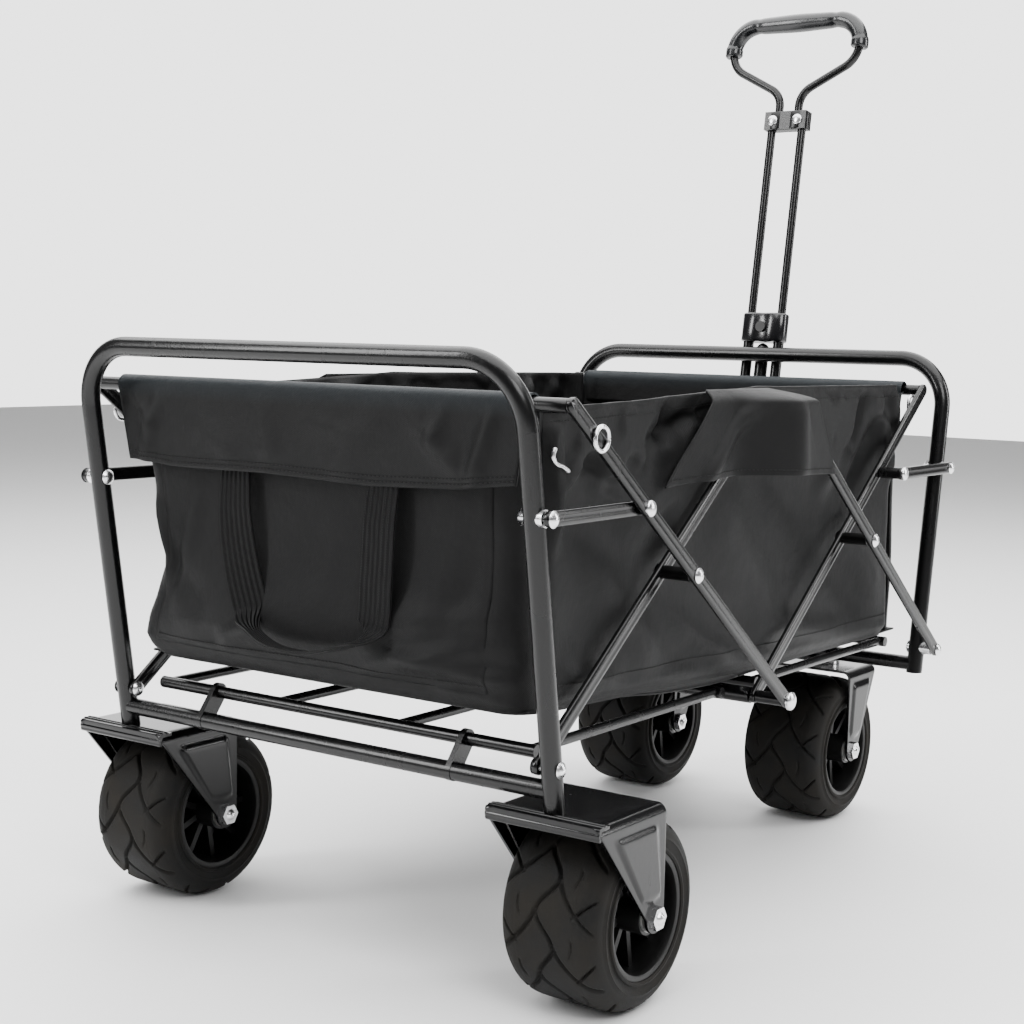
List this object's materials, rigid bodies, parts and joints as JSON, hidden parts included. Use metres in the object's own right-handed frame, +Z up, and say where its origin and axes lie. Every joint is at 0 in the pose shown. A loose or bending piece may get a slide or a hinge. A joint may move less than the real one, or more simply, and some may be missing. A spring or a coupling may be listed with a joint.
{
  "type": "folding beach cart",
  "caption": "Folding wagon for the beach: scissor-link frame, fabric cargo bag, wide soft-sand wheels with swivelling front casters, and a telescopic pull handle.",
  "frame": {"origin": "centre of the overall box at ground level", "axes": "+X forward to the pull handle, +Y to the left, +Z up"},
  "size_m": [1.0136, 0.664, 1.0306],
  "materials": {
    "frame_paint": "gloss black powder coat",
    "link_paint": "satin black powder coat",
    "fork_paint": "gloss black paint",
    "pin_chrome": "bright plated",
    "tyre_rubber": "matte",
    "rim_plastic": "satin black",
    "bush_steel": "turned",
    "bag_cloth": "coated polyester weave",
    "webbing": "ribbed webbing",
    "collar_plastic": "gloss moulded black",
    "button_plastic": "matte moulded",
    "grip_rubber": "smooth satin rubber"
  },
  "bodies": {
    "rear_frame": {"rear_end_frame": "frame_paint", "rear_cross_tube": "frame_paint", "rear_left_fork": "fork_paint", "rear_right_fork": "fork_paint", "rear_axles": "pin_chrome", "rear_frame_bolts": "pin_chrome", "bag_rear_panel": "bag_cloth", "rear_pouch": "bag_cloth", "webbing_handle": "webbing", "bag_left_panel": "bag_cloth", "bag_right_panel": "bag_cloth"},
    "rear_left_wheel": {"rear_left_tyre": "tyre_rubber", "rear_left_rim": "rim_plastic", "rear_left_bushes": "bush_steel"},
    "rear_right_wheel": {"rear_right_tyre": "tyre_rubber", "rear_right_rim": "rim_plastic", "rear_right_bushes": "bush_steel"},
    "rear_inner_links": {"rear_left_inner_link": "link_paint", "rear_right_inner_link": "link_paint", "rear_link_pins": "pin_chrome"},
    "rear_outer_links": {"rear_left_outer_link": "link_paint", "rear_right_outer_link": "link_paint", "rear_rim_bar": "frame_paint"},
    "bottom_tube": {"bottom_cross_tube": "frame_paint"},
    "front_inner_links": {"front_left_inner_link": "link_paint", "front_right_inner_link": "link_paint", "front_link_pins": "pin_chrome", "front_rim_bar": "frame_paint"},
    "front_outer_links": {"front_left_outer_link": "link_paint", "front_right_outer_link": "link_paint"},
    "front_frame": {"front_end_frame": "frame_paint", "front_cross_tube": "frame_paint", "front_frame_bolts": "pin_chrome", "caster_swivel_pins": "pin_chrome", "bag_front_panel": "bag_cloth", "handle_bracket": "frame_paint"},
    "rear_arms": {"rear_left_arm": "link_paint", "rear_right_arm": "link_paint"},
    "front_arms": {"front_left_arm": "link_paint", "front_right_arm": "link_paint"},
    "rear_floor": {"rear_floor_frame": "frame_paint", "bag_base_rear": "bag_cloth"},
    "front_floor": {"front_floor_frame": "frame_paint", "bag_base_front": "bag_cloth"},
    "front_left_caster": {"front_left_fork": "fork_paint", "front_left_axle": "pin_chrome"},
    "front_right_caster": {"front_right_fork": "fork_paint", "front_right_axle": "pin_chrome"},
    "front_left_wheel": {"front_left_tyre": "tyre_rubber", "front_left_rim": "rim_plastic", "front_left_bushes": "bush_steel"},
    "front_right_wheel": {"front_right_tyre": "tyre_rubber", "front_right_rim": "rim_plastic", "front_right_bushes": "bush_steel"},
    "handle_lower": {"handle_lower_tubes": "frame_paint", "handle_collar": "collar_plastic"},
    "handle_button": {"release_button": "button_plastic"},
    "handle_upper": {"handle_slide_tubes": "frame_paint", "handle_loop": "frame_paint", "handle_grip": "grip_rubber"}
  },
  "joints": [
    {"name": "frame_fold", "type": "hinge", "parent": "rear_frame", "child": "rear_inner_links", "pos_m": [-0.44192, 0, 0.23], "axis": [0, -1, 0], "range_deg": [0, 38], "deforming": ["bag_left_panel", "bag_right_panel"]},
    {"name": "rear_cross_pivot", "type": "hinge", "parent": "rear_inner_links", "child": "rear_outer_links", "pos_m": [-0.24441, 0, 0.38], "axis": [0, -1, 0], "range_deg": [-76, 0]},
    {"name": "bottom_tube_pivot", "type": "hinge", "parent": "rear_outer_links", "child": "bottom_tube", "pos_m": [-0.04691, 0, 0.23], "axis": [0, -1, 0], "range_deg": [0, 38]},
    {"name": "low_middle_pivot", "type": "hinge", "parent": "rear_outer_links", "child": "front_inner_links", "pos_m": [-0.04691, 0, 0.23], "axis": [0, -1, 0], "range_deg": [0, 76]},
    {"name": "front_cross_pivot", "type": "hinge", "parent": "front_inner_links", "child": "front_outer_links", "pos_m": [0.15058, 0, 0.38], "axis": [0, -1, 0], "range_deg": [-76, 0]},
    {"name": "front_foot_pivot", "type": "hinge", "parent": "front_outer_links", "child": "front_frame", "pos_m": [0.34808, 0, 0.23], "axis": [0, -1, 0], "range_deg": [0, 38]},
    {"name": "rear_arm_pivot", "type": "hinge", "parent": "rear_frame", "child": "rear_arms", "pos_m": [-0.4766, 0, 0.449], "axis": [0, -1, 0], "range_deg": [0, 62.32]},
    {"name": "front_arm_pivot", "type": "hinge", "parent": "front_frame", "child": "front_arms", "pos_m": [0.38277, 0, 0.449], "axis": [0, -1, 0], "range_deg": [-62.32, 0]},
    {"name": "rear_floor_hinge", "type": "hinge", "parent": "rear_frame", "child": "rear_floor", "pos_m": [-0.41891, 0, 0.236], "axis": [0, -1, 0], "range_deg": [0, 89.3]},
    {"name": "front_floor_hinge", "type": "hinge", "parent": "front_frame", "child": "front_floor", "pos_m": [0.32509, 0, 0.236], "axis": [0, -1, 0], "range_deg": [-89.3, 0]},
    {"name": "rear_left_wheel_spin", "type": "hinge", "parent": "rear_frame", "child": "rear_left_wheel", "pos_m": [-0.35791, 0.263, 0.089], "axis": [0, 1, 0], "continuous": true},
    {"name": "front_left_swivel", "type": "hinge", "parent": "front_frame", "child": "front_left_caster", "pos_m": [0.38009, 0.125, 0.178], "axis": [0, 0, 1], "continuous": true},
    {"name": "front_left_wheel_spin", "type": "hinge", "parent": "front_left_caster", "child": "front_left_wheel", "pos_m": [0.35008, 0.125, 0.089], "axis": [0, 1, 0], "continuous": true},
    {"name": "rear_right_wheel_spin", "type": "hinge", "parent": "rear_frame", "child": "rear_right_wheel", "pos_m": [-0.35791, -0.263, 0.089], "axis": [0, 1, 0], "continuous": true},
    {"name": "front_right_swivel", "type": "hinge", "parent": "front_frame", "child": "front_right_caster", "pos_m": [0.38009, -0.125, 0.178], "axis": [0, 0, 1], "continuous": true},
    {"name": "front_right_wheel_spin", "type": "hinge", "parent": "front_right_caster", "child": "front_right_wheel", "pos_m": [0.35008, -0.125, 0.089], "axis": [0, 1, 0], "continuous": true},
    {"name": "handle_swing", "type": "hinge", "parent": "front_frame", "child": "handle_lower", "pos_m": [0.36665, 0, 0.20656], "axis": [0, 1, 0], "range_deg": [0, 90]},
    {"name": "handle_slide", "type": "slide", "parent": "handle_lower", "child": "handle_upper", "axis": [0.1564, 0, 0.9877], "range_m": [-0.24, 0]},
    {"name": "button_press", "type": "slide", "parent": "handle_lower", "child": "handle_button", "axis": [0.9877, 0, -0.1564], "range_m": [0, 0.003], "stiffness_N_per_m": 400}
  ],
  "couplings": [
    {"joint": "rear_cross_pivot", "follows": "frame_fold", "ratio": -2},
    {"joint": "bottom_tube_pivot", "follows": "frame_fold", "ratio": 1},
    {"joint": "low_middle_pivot", "follows": "frame_fold", "ratio": 2},
    {"joint": "front_cross_pivot", "follows": "frame_fold", "ratio": -2},
    {"joint": "front_foot_pivot", "follows": "frame_fold", "ratio": 1},
    {"joint": "rear_arm_pivot", "follows": "frame_fold", "ratio": 1.64},
    {"joint": "front_arm_pivot", "follows": "frame_fold", "ratio": -1.64},
    {"joint": "rear_floor_hinge", "follows": "frame_fold", "ratio": 2.35},
    {"joint": "front_floor_hinge", "follows": "frame_fold", "ratio": -2.35}
  ]
}
